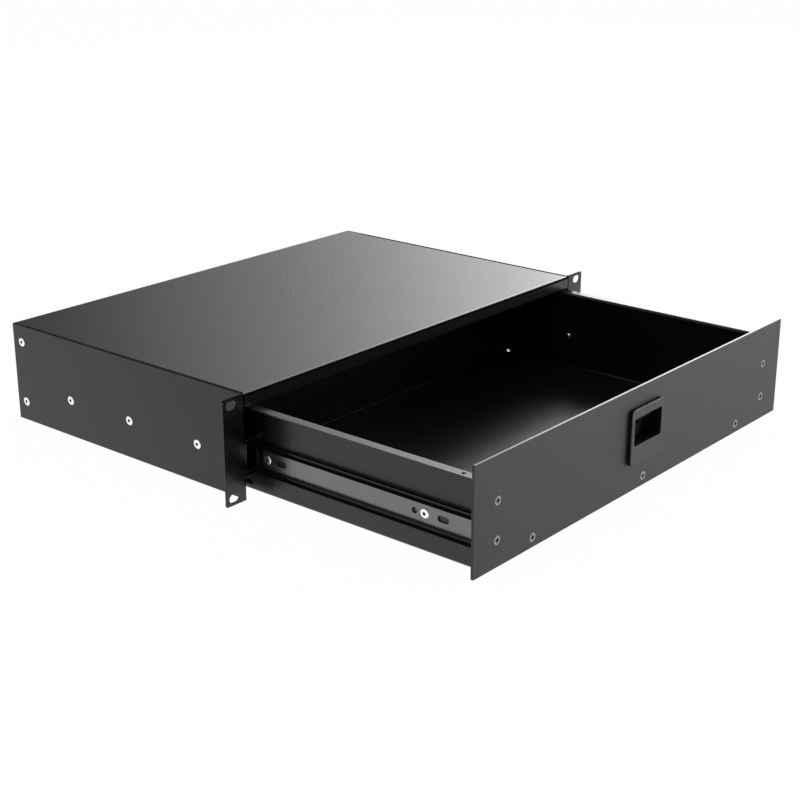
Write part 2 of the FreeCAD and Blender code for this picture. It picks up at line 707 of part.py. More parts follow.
# --- Slam latch --------------------------------------------------------------------------
latch_bottom = BASE + LATCH_HEIGHT_CENTRE - LATCH_HEIGHT / 2.0
latch_top = latch_bottom + LATCH_HEIGHT
pocket_top = latch_top - LATCH_TOP_BAR
pocket_bottom = pocket_top - POCKET_HEIGHT
pocket_back = panel_back + POCKET_DEPTH
channel_front = pocket_back + LATCH_WALL
bolt_front = channel_front + BOLT_CLEARANCE
bolt_back = bolt_front + BOLT_THICKNESS
latch_back = bolt_back + BOLT_CLEARANCE
trigger_top = pocket_top - BOLT_CLEARANCE
trigger_bottom = trigger_top - TRIGGER_HEIGHT
bolt_bottom = trigger_bottom - TRIGGER_HEIGHT
bolt_top = lip_bottom + BOLT_ENGAGEMENT
hook_front = SHEET + BOLT_FLANGE_GAP - TRAVEL


def latch_body_box(grow):
    """Half the width, the bottom and the top of the latch's body behind its rim."""
    half = LATCH_WIDTH / 2.0 - LATCH_FLANGE_OVERLAP + grow
    return half, latch_bottom + LATCH_FLANGE_OVERLAP - grow, latch_top - LATCH_FLANGE_OVERLAP + grow


def latch_screw_places():
    half, z0, z1 = latch_body_box(0.0)
    xs = (LATCH_OFFSET - half + LATCH_SCREW_INSET, LATCH_OFFSET + half - LATCH_SCREW_INSET)
    return [(x, z) for x in xs for z in (z0 + LATCH_SCREW_INSET, z1 - LATCH_SCREW_INSET)]


def latch_bezel():
    """The latch's moulded body: a raised rim with a finger pocket, and the bolt's channel behind."""
    x0 = LATCH_OFFSET - LATCH_WIDTH / 2.0
    x1 = LATCH_OFFSET + LATCH_WIDTH / 2.0
    face = panel_front - LATCH_PROUD
    rim = rounded_block(x0, x1, face, panel_front, latch_bottom, latch_top, LATCH_CORNER_RADIUS)
    front_edges = [e for e in rim.Edges if e.BoundBox.YMax < face + 0.01]
    rim = rim.makeChamfer(LATCH_EDGE_CHAMFER, front_edges)
    half, z0, z1 = latch_body_box(0.0)
    body = box(LATCH_OFFSET - half, LATCH_OFFSET + half, panel_front, latch_back, z0, z1)
    lugs = []
    for side in (-1, 1):
        edge = LATCH_OFFSET + side * half
        tip = edge + side * LUG_REACH
        outline = [xy(edge, panel_back), xy(tip, panel_back), xy(edge, panel_back + LUG_LENGTH)]
        lug = polygon_face(outline).extrude(Vector(0, 0, LUG_WIDTH))
        lug.translate(Vector(0, 0, BASE + LATCH_HEIGHT_CENTRE - LUG_WIDTH / 2.0))
        lugs.append(lug)
    shell = rim.fuse([body] + lugs).removeSplitter()
    left = x0 + LATCH_SIDE_BAR
    right = x1 - LATCH_SIDE_BAR
    pocket = rounded_block(
        left, right, face - 1, pocket_back, pocket_bottom, pocket_top, POCKET_CORNER_RADIUS
    )
    slide_half = BOLT_WIDTH / 2.0 + BOLT_CLEARANCE
    channel_floor = bolt_bottom - SPRING_SPACE
    left = LATCH_OFFSET - slide_half
    right = LATCH_OFFSET + slide_half
    channel = box(left, right, channel_front, latch_back + 1, channel_floor, z1 + 1)
    neck = TRIGGER_NECK_WIDTH / 2.0 + BOLT_CLEARANCE
    window = box(
        LATCH_OFFSET - neck, LATCH_OFFSET + neck, pocket_back - 1, channel_front + 1,
        trigger_bottom - BOLT_TRAVEL - BOLT_CLEARANCE, trigger_top + BOLT_CLEARANCE,
    )
    tools = [pocket, channel, window]
    hole_radius = (LATCH_SCREW_DIAMETER + SCREW_HOLE_CLEARANCE) / 2.0
    for x, z in latch_screw_places():
        start = (x, latch_back - LATCH_SCREW_LENGTH, z)
        tools.append(pin(hole_radius, LATCH_SCREW_LENGTH + 1, start, (0, 1, 0)))
    return cut_all(shell, tools)


def latch_bolt():
    """The sliding bolt. Its head hooks behind the lip of the top cover when the drawer is shut."""
    half = BOLT_WIDTH / 2.0
    head_bottom = bolt_top - BOLT_HEAD_HEIGHT
    profile = [
        yz(bolt_front, bolt_bottom),
        yz(bolt_back, bolt_bottom),
        yz(bolt_back, head_bottom),
        yz(hook_front + BOLT_NOSE, bolt_top),
        yz(hook_front, bolt_top),
        yz(hook_front, head_bottom),
        yz(bolt_front, head_bottom),
    ]
    bolt = polygon_face(profile).extrude(Vector(BOLT_WIDTH, 0, 0))
    bolt.translate(Vector(LATCH_OFFSET - half, 0, 0))
    return bolt


def latch_trigger():
    """The finger bar in the pocket. It is fixed to the bolt through a window in the pocket's back."""
    neck = TRIGGER_NECK_WIDTH / 2.0
    bar_back = pocket_back - BOLT_CLEARANCE
    bar_front = bar_back - TRIGGER_REACH
    stem = box(LATCH_OFFSET - neck, LATCH_OFFSET + neck, bar_back, bolt_front, trigger_bottom, trigger_top)
    profile = [
        yz(bar_back, trigger_bottom),
        yz(bar_back, trigger_top),
        yz(bar_front + TRIGGER_LIP, trigger_top),
        yz(bar_front, trigger_bottom + TRIGGER_LIP),
        yz(bar_front, trigger_bottom),
    ]
    bar = polygon_face(profile).extrude(Vector(TRIGGER_WIDTH, 0, 0))
    bar.translate(Vector(LATCH_OFFSET - TRIGGER_WIDTH / 2.0, 0, 0))
    return bar.fuse(stem).removeSplitter()


def latch_spring(x):
    """A coil spring that stands on the channel's floor and pushes the bolt up."""
    radius = (SPRING_DIAMETER - SPRING_WIRE) / 2.0
    rise = SPRING_SPACE - SPRING_WIRE
    half = SPRING_WIRE / 2.0
    steps = SPRING_TURNS * SPRING_STEPS_PER_TURN
    sections = []
    for index in range(steps + 1):
        angle = 2.0 * math.pi * index / SPRING_STEPS_PER_TURN
        out = Vector(math.cos(angle), math.sin(angle), 0)
        middle = out * radius + Vector(0, 0, half + rise * index / steps)
        across = out * half
        up = Vector(0, 0, half)
        outer = middle + across
        inner = middle - across
        sections.append([outer + up, inner + up, inner - up, outer - up])
    faces = [polygon_face(sections[0]), polygon_face(sections[-1])]
    for near, far in zip(sections, sections[1:]):
        for corner in range(4):
            after = (corner + 1) % 4
            faces.append(polygon_face([near[corner], near[after], far[after]]))
            faces.append(polygon_face([near[corner], far[after], far[corner]]))
    coil = closed_solid(faces)
    coil.translate(Vector(x, (bolt_front + bolt_back) / 2.0, bolt_bottom - SPRING_SPACE))
    return coil


def latch_plate():
    """The steel plate that closes the bolt's channel from behind."""
    half, z0, z1 = latch_body_box(0.0)
    x0 = LATCH_OFFSET - half
    x1 = LATCH_OFFSET + half
    plate = rounded_block(x0, x1, latch_back, latch_back + LATCH_PLATE_SHEET, z0, z1, LATCH_WALL)
    radius = (LATCH_SCREW_DIAMETER + SCREW_HOLE_CLEARANCE) / 2.0
    tools = []
    for x, z in latch_screw_places():
        tools.append(pin(radius, 4 * LATCH_PLATE_SHEET, (x, latch_back - 1, z), (0, 1, 0)))
    return cut_all(plate, tools)


def latch_screw(x, z):
    """A pan-head screw through the plate into the latch's body."""
    grip = LATCH_PLATE_SHEET + LATCH_SCREW_LENGTH - LATCH_SCREW_TIP_GAP
    head = LATCH_SCREW_HEAD_DIAMETER / 2.0
    shank = LATCH_SCREW_DIAMETER / 2.0
    outline = [
        (0, -grip),
        (shank, -grip),
        (shank, 0),
        (head, 0),
        (head, LATCH_SCREW_HEAD_HEIGHT - LATCH_SCREW_HEAD_CHAMFER),
        (head - LATCH_SCREW_HEAD_CHAMFER, LATCH_SCREW_HEAD_HEIGHT),
        (0, LATCH_SCREW_HEAD_HEIGHT),
    ]
    return turned(outline, (x, latch_back + LATCH_PLATE_SHEET, z), (0, 1, 0))


# --- Write the pieces --------------------------------------------------------------------
def main():
    os.makedirs("parts", exist_ok=True)
    write("top_cover", [top_cover()])
    write("rear_panel", [rear_panel()])
    write_pair("side_panel", [left_side_panel()])
    write_pair("outer_rail", [left_outer_rail()])
    write_pair("inner_rail", [left_inner_rail()])
    write_pair("ball_cage", [left_ball_cage()])
    write_pair("balls", [ball(place) for place in ball_places()])
    write_pair("rail_bumper", [left_rail_bumper()])
    outward = (-1, 0, 0)
    clamp = SHEET + RAIL_SHEET
    side = -side_outer
    web = -wall_outer - RAIL_SHEET
    write_pair("slide_rivets", [blind_rivet(clamp, (side, y, z), outward) for y, z in slide_rivet_places])
    write_pair("rear_rivets", [blind_rivet(2 * SHEET, (side, y, z), outward) for y, z in rear_rivet_places])
    write_pair("rail_rivets", [blind_rivet(clamp, (web, y, z), outward) for y, z in rail_rivet_places])
    write("drawer_tray", [drawer_tray()])
    write("front_panel", [front_panel()])
    write("panel_screws", [panel_screw(x, z) for x, z in screw_places])
    write("panel_clinch_nuts", [clinch_nut(x, z) for x, z in screw_places])
    write("latch_bezel", [latch_bezel()])
    write("latch_bolt", [latch_bolt()])
    write("latch_trigger", [latch_trigger()])
    spring_places = [LATCH_OFFSET + side * SPRING_SPACING / 2.0 for side in (-1, 1)]
    write("latch_springs", [latch_spring(x) for x in spring_places])
    write("latch_plate", [latch_plate()])
    write("latch_screws", [latch_screw(x, z) for x, z in latch_screw_places()])


main()
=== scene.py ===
# %% [markdown]
# # A sliding rack drawer
# This lesson dresses the imported model of a two-unit rack drawer. The imported model already holds every
# piece at its real size and place. Here the folded sheets get soft edges, the small fasteners get
# round, finely made shapes, and each surface gets the finish it has on the real drawer. Shade is also
# painted black into seams, holes, recesses and narrow rims, and a paler highlight onto the latch's rims.
# Everything is in metres. X runs across the rack, +Y to its back and +Z up.

# %% Load the imported model
import json
import math

import bmesh
import bpy
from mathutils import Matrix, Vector

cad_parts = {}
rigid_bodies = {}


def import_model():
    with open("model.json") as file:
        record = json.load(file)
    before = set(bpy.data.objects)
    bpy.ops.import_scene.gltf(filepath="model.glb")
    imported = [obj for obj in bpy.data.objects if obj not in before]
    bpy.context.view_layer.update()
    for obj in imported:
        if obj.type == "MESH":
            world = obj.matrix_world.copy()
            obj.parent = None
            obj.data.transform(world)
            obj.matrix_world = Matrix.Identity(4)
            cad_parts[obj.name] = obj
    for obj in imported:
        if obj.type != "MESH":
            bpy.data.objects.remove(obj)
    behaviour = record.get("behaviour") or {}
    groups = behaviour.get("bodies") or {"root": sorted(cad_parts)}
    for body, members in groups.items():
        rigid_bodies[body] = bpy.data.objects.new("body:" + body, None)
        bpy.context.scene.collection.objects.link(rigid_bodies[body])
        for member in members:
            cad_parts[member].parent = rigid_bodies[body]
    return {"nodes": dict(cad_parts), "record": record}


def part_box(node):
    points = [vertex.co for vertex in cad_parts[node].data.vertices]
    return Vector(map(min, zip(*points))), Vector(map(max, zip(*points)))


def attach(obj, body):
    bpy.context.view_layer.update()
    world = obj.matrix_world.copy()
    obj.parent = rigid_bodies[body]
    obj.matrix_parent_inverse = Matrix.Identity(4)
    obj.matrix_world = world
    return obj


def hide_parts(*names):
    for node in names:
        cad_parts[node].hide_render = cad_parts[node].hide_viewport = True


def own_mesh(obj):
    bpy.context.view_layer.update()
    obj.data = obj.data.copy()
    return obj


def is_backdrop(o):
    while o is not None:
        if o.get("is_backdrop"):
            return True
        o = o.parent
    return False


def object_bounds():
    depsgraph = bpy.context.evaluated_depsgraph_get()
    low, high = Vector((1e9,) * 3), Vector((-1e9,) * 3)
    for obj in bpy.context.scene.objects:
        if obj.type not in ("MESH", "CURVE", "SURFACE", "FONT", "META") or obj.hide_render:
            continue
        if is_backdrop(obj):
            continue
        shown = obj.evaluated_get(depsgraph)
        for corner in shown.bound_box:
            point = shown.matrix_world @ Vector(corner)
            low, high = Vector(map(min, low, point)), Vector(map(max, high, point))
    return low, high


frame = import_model()
cad_low, cad_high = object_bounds()
print("nodes:", len(frame["nodes"]), "overall size:", [round(v, 4) for v in cad_high - cad_low])

# %% [markdown]
# ## The camera
# A camera is set by where it stands, which way it looks and how long its lens is. It stands to the
# left and in front of the drawer, a little above it, and looks down by about twenty degrees. That
# shows the side, the open tray and the front panel at once.

# %% The camera
CAMERA_PLACE = (-0.99367, -0.80723, 0.44498)
CAMERA_TURN = -49.873
CAMERA_DIP = 19.673
CAMERA_ROLL = 0.045
CAMERA_LENS = 69.86
CAMERA_SENSOR = 36.0
CAMERA_SHIFT = (0.0026, -0.0129)
NEAR_CLIP = 0.05

bpy.ops.object.select_all(action="DESELECT")
bpy.ops.object.camera_add(
    location=CAMERA_PLACE,
    rotation=(math.radians(90.0 - CAMERA_DIP), math.radians(CAMERA_ROLL), math.radians(CAMERA_TURN)),
)
camera = bpy.context.object
camera.name = "camera"
camera.data.sensor_width = CAMERA_SENSOR
camera.data.lens = CAMERA_LENS
camera.data.shift_x, camera.data.shift_y = CAMERA_SHIFT
camera.data.clip_start = NEAR_CLIP
bpy.context.scene.camera = camera
bpy.context.scene.view_settings.view_transform = "Standard"
print("camera stands", round(Vector(CAMERA_PLACE).length, 3), "m from the rack ears")

# %% [markdown]
# ## Helpers for node materials
# Every finish below is a small network of nodes. Two helpers keep the code short: one starts a
# material and hands back its shader, the other adds a node and fills in its settings. Constants are
# set on the shader's own sockets, so they survive when the model is exported.

# %% Helpers for materials
def start_material(name):
    material = bpy.data.materials.new(name)
    material.use_nodes = True
    tree = material.node_tree
    return material, tree, tree.nodes["Principled BSDF"]


def add_node(tree, kind, **settings):
    node = tree.nodes.new(kind)
    for key, value in settings.items():
        if key in node.inputs:
            node.inputs[key].default_value = value
        else:
            setattr(node, key, value)
    return node


def object_noise(tree, scale, detail=2.0, stretch=(1.0, 1.0, 1.0)):
    """Noise that sticks to the object. A stretch below one along an axis draws it out that way."""
    place = add_node(tree, "ShaderNodeTexCoord")
    mapping = add_node(tree, "ShaderNodeMapping", Scale=stretch)
    noise = add_node(tree, "ShaderNodeTexNoise", Scale=scale, Detail=detail)
    tree.links.new(place.outputs["Object"], mapping.inputs["Vector"])
    tree.links.new(mapping.outputs["Vector"], noise.inputs["Vector"])
    return noise


def vary(tree, source, low, high, target):
    """Maps noise between two values of a number and feeds it to a shader's socket."""
    ramp = add_node(tree, "ShaderNodeMapRange")
    ramp.inputs["From Min"].default_value = 0.3
    ramp.inputs["From Max"].default_value = 0.7
    ramp.inputs["To Min"].default_value = low
    ramp.inputs["To Max"].default_value = high
    tree.links.new(source.outputs["Fac"], ramp.inputs["Value"])
    tree.links.new(ramp.outputs["Result"], target)


def tint(tree, source, low, high, target):
    """Mixes two colours by noise and feeds the result to a colour socket."""
    mix = add_node(tree, "ShaderNodeMix", data_type="RGBA")
    mix.inputs["A"].default_value = (*low, 1.0)
    mix.inputs["B"].default_value = (*high, 1.0)
    tree.links.new(source.outputs["Fac"], mix.inputs["Factor"])
    tree.links.new(mix.outputs["Result"], target)


def roughen(tree, shader, sources, strength, distance):
    """Turns noise into a fine bump, one layer after another."""
    before = None
    for source in sources:
        bump = add_node(tree, "ShaderNodeBump", Strength=strength, Distance=distance)
        tree.links.new(source.outputs["Fac"], bump.inputs["Height"])
        if before is not None:
            tree.links.new(before.outputs["Normal"], bump.inputs["Normal"])
        before = bump
    tree.links.new(before.outputs["Normal"], shader.inputs["Normal"])


print("helpers ready")

# %% [markdown]
# ## Black powder coat
# The sheets are steel with a baked black powder finish. Powder melts into a skin with a fine pebbled
# surface, so it reflects softly and its gloss differs a little from speck to speck. Very dark colour
# with a medium roughness does most of the work: what the eye sees as grey is the bright room in the
# gloss. The tray's floor and the front panel get more matt versions of the coat. A nearly lightless
# black is painted as shade into small recesses, seams and narrow rims.

# %% Black powder coat
CLOUD_SCALE = 14.0
SPECKLE_SHARE = 0.6
PEBBLE_STRENGTH = 0.34
PEBBLE_DEPTH = 0.00013


def make_powder_coat(name, dark, light, rough_low, rough_high, pebble_scale):
    material, tree, shader = start_material(name)
    pebble = object_noise(tree, pebble_scale, 3.0)
    cloud = object_noise(tree, CLOUD_SCALE, 2.0)
    tint(tree, cloud, (dark,) * 3, (light,) * 3, shader.inputs["Base Color"])
    speckle = object_noise(tree, pebble_scale * SPECKLE_SHARE, 2.0)
    vary(tree, speckle, rough_low, rough_high, shader.inputs["Roughness"])
    shader.inputs["IOR"].default_value = 1.5
    roughen(tree, shader, [pebble], PEBBLE_STRENGTH, PEBBLE_DEPTH)
    return material


def set_gloss(material, level):
    """Sets how strongly a coat reflects when seen straight on. A half is the usual level."""
    shader = material.node_tree.nodes["Principled BSDF"]
    shader.inputs["Specular IOR Level"].default_value = level


powder_coat = make_powder_coat("black_powder_coat", 0.0018, 0.0028, 0.258, 0.286, 1100.0)
floor_coat = make_powder_coat("black_floor_coat", 0.0018, 0.0028, 0.29, 0.33, 1100.0)
set_gloss(floor_coat, 0.22)
panel_coat = make_powder_coat("black_panel_coat", 0.018, 0.022, 0.54, 0.60, 1400.0)
# A nearly lightless black, painted as shade into recesses, seams and narrow rims.
shade_black = make_powder_coat("painted_shade_black", 0.0004, 0.0006, 0.8, 0.9, 1400.0)
set_gloss(shade_black, 0.05)
print("made", powder_coat.name, floor_coat.name, panel_coat.name, shade_black.name)

# %% [markdown]
# ## Rolled zinc steel, bright zinc and wire
# The slides are rolled from strip and plated with dark zinc. Rolling leaves long, faint lines along
# the strip, which noise gives when it is drawn out along Y. The nuts, plate and screws inside carry
# a lighter zinc, the springs are drawn wire, and the panel's screws have a satin nickel finish.

# %% Metals
GRAIN_DEPTH = 0.00004
EVEN = (1.0, 1.0, 1.0)


def make_metal(name, dark, light, rough_low, rough_high, stretch, bump):
    material, tree, shader = start_material(name)
    grain = object_noise(tree, 900.0, 3.0, stretch)
    cloud = object_noise(tree, 45.0, 3.0)
    shader.inputs["Metallic"].default_value = 1.0
    tint(tree, cloud, dark, light, shader.inputs["Base Color"])
    vary(tree, grain, rough_low, rough_high, shader.inputs["Roughness"])
    roughen(tree, shader, [grain], bump, GRAIN_DEPTH)
    return material


slide_zinc = make_metal(
    "slide_zinc", (0.152, 0.152, 0.153), (0.19, 0.19, 0.191), 0.18, 0.28, (1.0, 0.03, 1.0), 0.1
)
nut_zinc = make_metal(
    "nut_zinc", (0.42, 0.43, 0.45), (0.55, 0.56, 0.58), 0.24, 0.36, EVEN, 0.1
)
latch_steel = make_metal(
    "latch_steel", (0.40, 0.41, 0.43), (0.52, 0.53, 0.55), 0.26, 0.38, (0.05, 1.0, 1.0), 0.1
)
spring_steel = make_metal(
    "spring_wire", (0.32, 0.32, 0.33), (0.44, 0.44, 0.45), 0.2, 0.3, EVEN, 0.05
)
rivet_metal = make_metal(
    "rivet_aluminium", (0.92, 0.92, 0.92), (0.97, 0.97, 0.97), 0.16, 0.26, EVEN, 0.05
)
screw_nickel = make_metal(
    "screw_nickel", (0.25, 0.25, 0.255), (0.33, 0.33, 0.335), 0.22, 0.32, EVEN, 0.06
)
ball_chrome = make_metal(
    "bearing_ball", (0.62, 0.62, 0.63), (0.70, 0.70, 0.71), 0.05, 0.09, EVEN, 0.02
)
metals = (slide_zinc, nut_zinc, latch_steel, spring_steel, rivet_metal, screw_nickel, ball_chrome)
print("made", [metal.name for metal in metals])

# %% [markdown]
# ## Moulded plastic and rubber
# The latch is moulded in black plastic, whose mould leaves an even, very fine grain. A paler colour is
# painted on its rounded rims as a highlight, and its sides, its inside and the pieces in it are painted
# nearly black as shade. The stops at the back of the slides are matt rubber.

# %% Plastic and rubber
MOULD_DEPTH = 0.00006
MOULD_GRAIN = 2200.0


def make_dark(name, dark, light, rough_low, rough_high, grain_scale, bump):
    """A dark plastic or rubber. Dark and light are the two greys that it wanders between."""
    material, tree, shader = start_material(name)
    grain = object_noise(tree, grain_scale, 2.0)
    cloud = object_noise(tree, 60.0, 2.0)
    tint(tree, cloud, (dark,) * 3, (light,) * 3, shader.inputs["Base Color"])
    vary(tree, cloud, rough_low, rough_high, shader.inputs["Roughness"])
    roughen(tree, shader, [grain], bump, MOULD_DEPTH)
    return material


latch_plastic = make_dark("latch_moulding", 0.02, 0.023, 0.5, 0.56, MOULD_GRAIN, 0.1)
# A paler colour painted on the latch's rims as a highlight, and a near black painted as shade inside.
latch_painted_highlight = make_dark("latch_painted_highlight", 0.10, 0.12, 0.3, 0.36, MOULD_GRAIN, 0.05)
latch_painted_shade = make_dark("latch_painted_shade", 0.0012, 0.0018, 0.5, 0.6, MOULD_GRAIN, 0.1)
set_gloss(latch_painted_shade, 0.2)
bumper_rubber = make_dark("bumper_rubber", 0.012, 0.02, 0.7, 0.85, 900.0, 0.2)
print("made", [dark.name for dark in (latch_plastic, latch_painted_highlight, latch_painted_shade, bumper_rubber)])

# %% [markdown]
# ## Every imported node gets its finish
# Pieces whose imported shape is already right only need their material. The rest are given finer
# shapes further down, and take the same finish.

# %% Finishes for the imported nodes
FINISH = {
    "black_powder_coat": powder_coat,
    "slide_zinc": slide_zinc,
    "rivet_aluminium": rivet_metal,
    "screw_black": screw_nickel,
    "nut_zinc": nut_zinc,
    "latch_moulding": latch_plastic,
    "latch_steel": latch_steel,
    "spring_wire": spring_steel,
    "bearing_ball": ball_chrome,
    "bumper_rubber": bumper_rubber,
}
slot_of = {part["node"]: part["material_slot"] for part in frame["record"]["subparts"]}
body_of_node = {}
for body, nodes in frame["record"]["behaviour"]["bodies"].items():
    for node in nodes:
        body_of_node[node] = body
for name, packed in frame["nodes"].items():
    for slot_index in range(len(packed.material_slots)):
        packed.material_slots[slot_index].material = FINISH[slot_of[name]]
print("finished", len(slot_of), "nodes")

# %% [markdown]
# ## Soft edges for the folded sheets
# Sheared and painted sheet never has a perfectly sharp edge: the powder pulls back and leaves a small
# round that catches the light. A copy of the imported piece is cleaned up, its flat areas are joined,
# its sharp edges get a narrow bevel, and its bends are shaded smooth.

# %% Helpers for pieces
MERGE_DISTANCE = 0.000002
FLAT_ANGLE = 0.6


def only(piece):
    """Makes one object the only selected and the active one."""
    bpy.ops.object.select_all(action="DESELECT")
    piece.select_set(True)
    bpy.context.view_layer.objects.active = piece


def apply_modifiers(piece):
    only(piece)
    for modifier in list(piece.modifiers):
        bpy.ops.object.modifier_apply(modifier=modifier.name)


def finish_piece(piece, *nodes, finish=None, second=None, faces=()):
    """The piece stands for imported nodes: it takes their name, body, slot and finish.

    The faces given by number take the second finish."""
    node = nodes[0]
    piece.name = node + "_look"
    piece.data.name = piece.name
    piece.data.materials.clear()
    piece.data.materials.append(finish or FINISH[slot_of[node]])
    if second:
        piece.data.materials.append(second)
        for polygon in piece.data.polygons:
            polygon.material_index = 1 if polygon.index in faces else 0
    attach(piece, body_of_node[node])
    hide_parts(*nodes)
    return piece


def clean_copy(node):
    """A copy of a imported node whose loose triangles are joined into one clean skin."""
    packed = frame["nodes"][node]
    only(packed)
    bpy.ops.object.duplicate()
    piece = bpy.context.object
    bpy.ops.object.parent_clear(type="CLEAR_KEEP_TRANSFORM")
    bpy.ops.object.mode_set(mode="EDIT")
    bpy.ops.mesh.select_all(action="SELECT")
    bpy.ops.mesh.remove_doubles(threshold=MERGE_DISTANCE)
    bpy.ops.mesh.dissolve_limited(angle_limit=math.radians(FLAT_ANGLE))
    bpy.ops.object.mode_set(mode="OBJECT")
    return piece


def smooth(piece, sharp=50.0):
    """Shades round surfaces smooth while flat faces stay flat."""
    only(piece)
    bpy.ops.object.shade_smooth_by_angle(angle=math.radians(sharp))
    weight = piece.modifiers.new("flat faces", "WEIGHTED_NORMAL")
    weight.mode = "FACE_AREA"
    weight.weight = 50
    weight.keep_sharp = True
    apply_modifiers(piece)
    return piece


def soften(piece, width, segments=2, sharp=40.0):
    """Bevels the sharp edges and shades the piece."""
    bevel = piece.modifiers.new("edges", "BEVEL")
    bevel.width = width
    bevel.segments = segments
    bevel.limit_method = "ANGLE"
    bevel.angle_limit = math.radians(sharp)
    bevel.use_clamp_overlap = True
    apply_modifiers(piece)
    return smooth(piece)


print("helpers ready")

# %% [markdown]
# ## The sheets
# Each sheet gets its soft edges. Some faces take a second finish: shade is painted black along the joint
# between the cover and the side panels, on the cover's front fold and on the narrow rims of the inner
# rails, and the tray's floor is a little more matt than its walls.

# %% Soft edges for the sheets
SHEET_EDGE = 0.0002
SHEET_NODES = [
    "top_cover", "rear_panel", "left_side_panel", "right_side_panel", "drawer_tray",
    "left_inner_rail", "right_inner_rail", "left_outer_rail", "right_outer_rail",
    "left_ball_cage", "right_ball_cage", "latch_plate",
]
SEAM_HEIGHT = 0.0032
SEAM_WIDTH = 0.0007
FOLD_DEPTH = 0.003
RACE_RIM = 0.0009
FLOOR_HEIGHT = 0.006
FLOOR_AREA = 0.001
seam_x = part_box("top_cover")[1].x


def in_painted_seam_shade(node, face):
    """Faces along the cover's joint with a side panel and on its front fold, painted black as shade."""
    centre, normal = face.center, face.normal
    near = abs(centre.x) > seam_x - SEAM_WIDTH and centre.z > cad_high.z - SEAM_HEIGHT
    if node == "top_cover":
        front = centre.y < FOLD_DEPTH and normal.y < -0.6 and normal.z > 0.05
        return front or (near and abs(normal.x) > 0.35)
    return near and node.endswith("side_panel") and normal.z > 0.3


def in_painted_rim_shade(node, face, reach):
    """The narrow outer rims of an inner rail's two lips, painted black as shade."""
    return node.endswith("inner_rail") and reach - abs(face.center.x) < RACE_RIM


def on_floor(face, bottom):
    """The wide upper face of the tray's floor."""
    low = face.center.z < bottom + FLOOR_HEIGHT
    return low and face.normal.z > 0.98 and face.area > FLOOR_AREA


for node in SHEET_NODES:
    sheet = soften(clean_copy(node), SHEET_EDGE)
    low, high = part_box(node)
    reach = max(abs(low.x), abs(high.x))
    faces = sheet.data.polygons
    if node == "drawer_tray":
        second = floor_coat
        chosen = {face.index for face in faces if on_floor(face, low.z)}
    else:
        # Seam, fold and rail rim faces take black painted as shade.
        second = shade_black
        chosen = {face.index for face in faces if in_painted_seam_shade(node, face) or in_painted_rim_shade(node, face, reach)}
    finish_piece(sheet, node, second=second if chosen else None, faces=chosen)
    print(sheet.name, len(faces), "faces,", len(chosen), "in a second finish")

# %% [markdown]
# ## The front panel
# The panel is a flat plate cut by a laser. Its faces get the matt coat, while its rims keep the
# glossier one, so they catch a fine bright line.

# %% The front panel
PANEL_EDGE = 0.00035
FACE_TILT = 0.9
panel = soften(clean_copy("front_panel"), PANEL_EDGE, 3)
rims = {face.index for face in panel.data.polygons if abs(face.normal.y) < FACE_TILT}
finish_piece(panel, "front_panel", finish=panel_coat, second=powder_coat, faces=rims)
print(panel.name, len(panel.data.polygons), "faces")

# %% [markdown]
# ## Turned pieces
# Rivets, screws and nuts are all round about one axis. Each is built as on a lathe: a circle is added,
# its edge is extruded up step by step, and every step is scaled to the radius that the profile has
# there. The ends are filled, or for a ring the last step meets the first and the two are merged.

# %% Helpers for turned pieces
RING_MERGE = 0.0000005


def turned(name, rings, sides=32, ring_shaped=False):
    """A round piece along Z. Rings are (radius, height) pairs in metres, from the bottom up."""
    radius, height = rings[0]
    bpy.ops.object.select_all(action="DESELECT")
    bpy.ops.mesh.primitive_circle_add(vertices=sides, radius=radius, location=(0.0, 0.0, 0.0))
    piece = bpy.context.object
    piece.name = name
    bpy.ops.object.mode_set(mode="EDIT")
    bpy.ops.mesh.select_all(action="SELECT")
    bpy.ops.transform.translate(value=(0.0, 0.0, height))
    for next_radius, next_height in rings[1:]:
        step = {"value": (0.0, 0.0, next_height - height)}
        bpy.ops.mesh.extrude_region_move(TRANSFORM_OT_translate=step)
        grow = next_radius / radius
        bpy.ops.transform.resize(value=(grow, grow, 1.0), center_override=(0.0, 0.0, next_height))
        radius, height = next_radius, next_height
    if not ring_shaped:
        bpy.ops.mesh.edge_face_add()
        bpy.ops.mesh.select_all(action="DESELECT")
        bpy.ops.mesh.select_non_manifold()
        bpy.ops.mesh.edge_face_add()
    bpy.ops.mesh.select_all(action="SELECT")
    bpy.ops.mesh.remove_doubles(threshold=RING_MERGE)
    bpy.ops.mesh.normals_make_consistent(inside=False)
    bpy.ops.object.mode_set(mode="OBJECT")
    return piece


def solids_of(node):
    """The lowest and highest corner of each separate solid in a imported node."""
    clean_copy(node)
    bpy.ops.object.mode_set(mode="EDIT")
    bpy.ops.mesh.select_all(action="SELECT")
    bpy.ops.mesh.separate(type="LOOSE")
    bpy.ops.object.mode_set(mode="OBJECT")
    boxes = []
    for part in list(bpy.context.selected_objects):
        corners = [v.co for v in part.data.vertices]
        low = Vector([min(c[axis] for c in corners) for axis in range(3)])
        high = Vector([max(c[axis] for c in corners) for axis in range(3)])
        boxes.append((low, high))
        bpy.data.objects.remove(part)
    return sorted(boxes, key=lambda pair: tuple(round(v, 5) for v in pair[0]))


def mark(piece, test):
    """Marks the faces that a test picks by their centre and their reach from the Z axis."""
    marks = piece.data.attributes.new("marked", "BOOLEAN", "FACE")
    for polygon in piece.data.polygons:
        corners = [piece.data.vertices[index].co for index in polygon.vertices]
        reach = max(math.hypot(corner.x, corner.y) for corner in corners)
        marks.data[polygon.index].value = test(polygon.center, reach)
    return piece


def marked(piece):
    """The numbers of the marked faces."""
    marks = piece.data.attributes["marked"]
    found = {index for index, entry in enumerate(marks.data) if entry.value}
    piece.data.attributes.remove(marks)
    return found


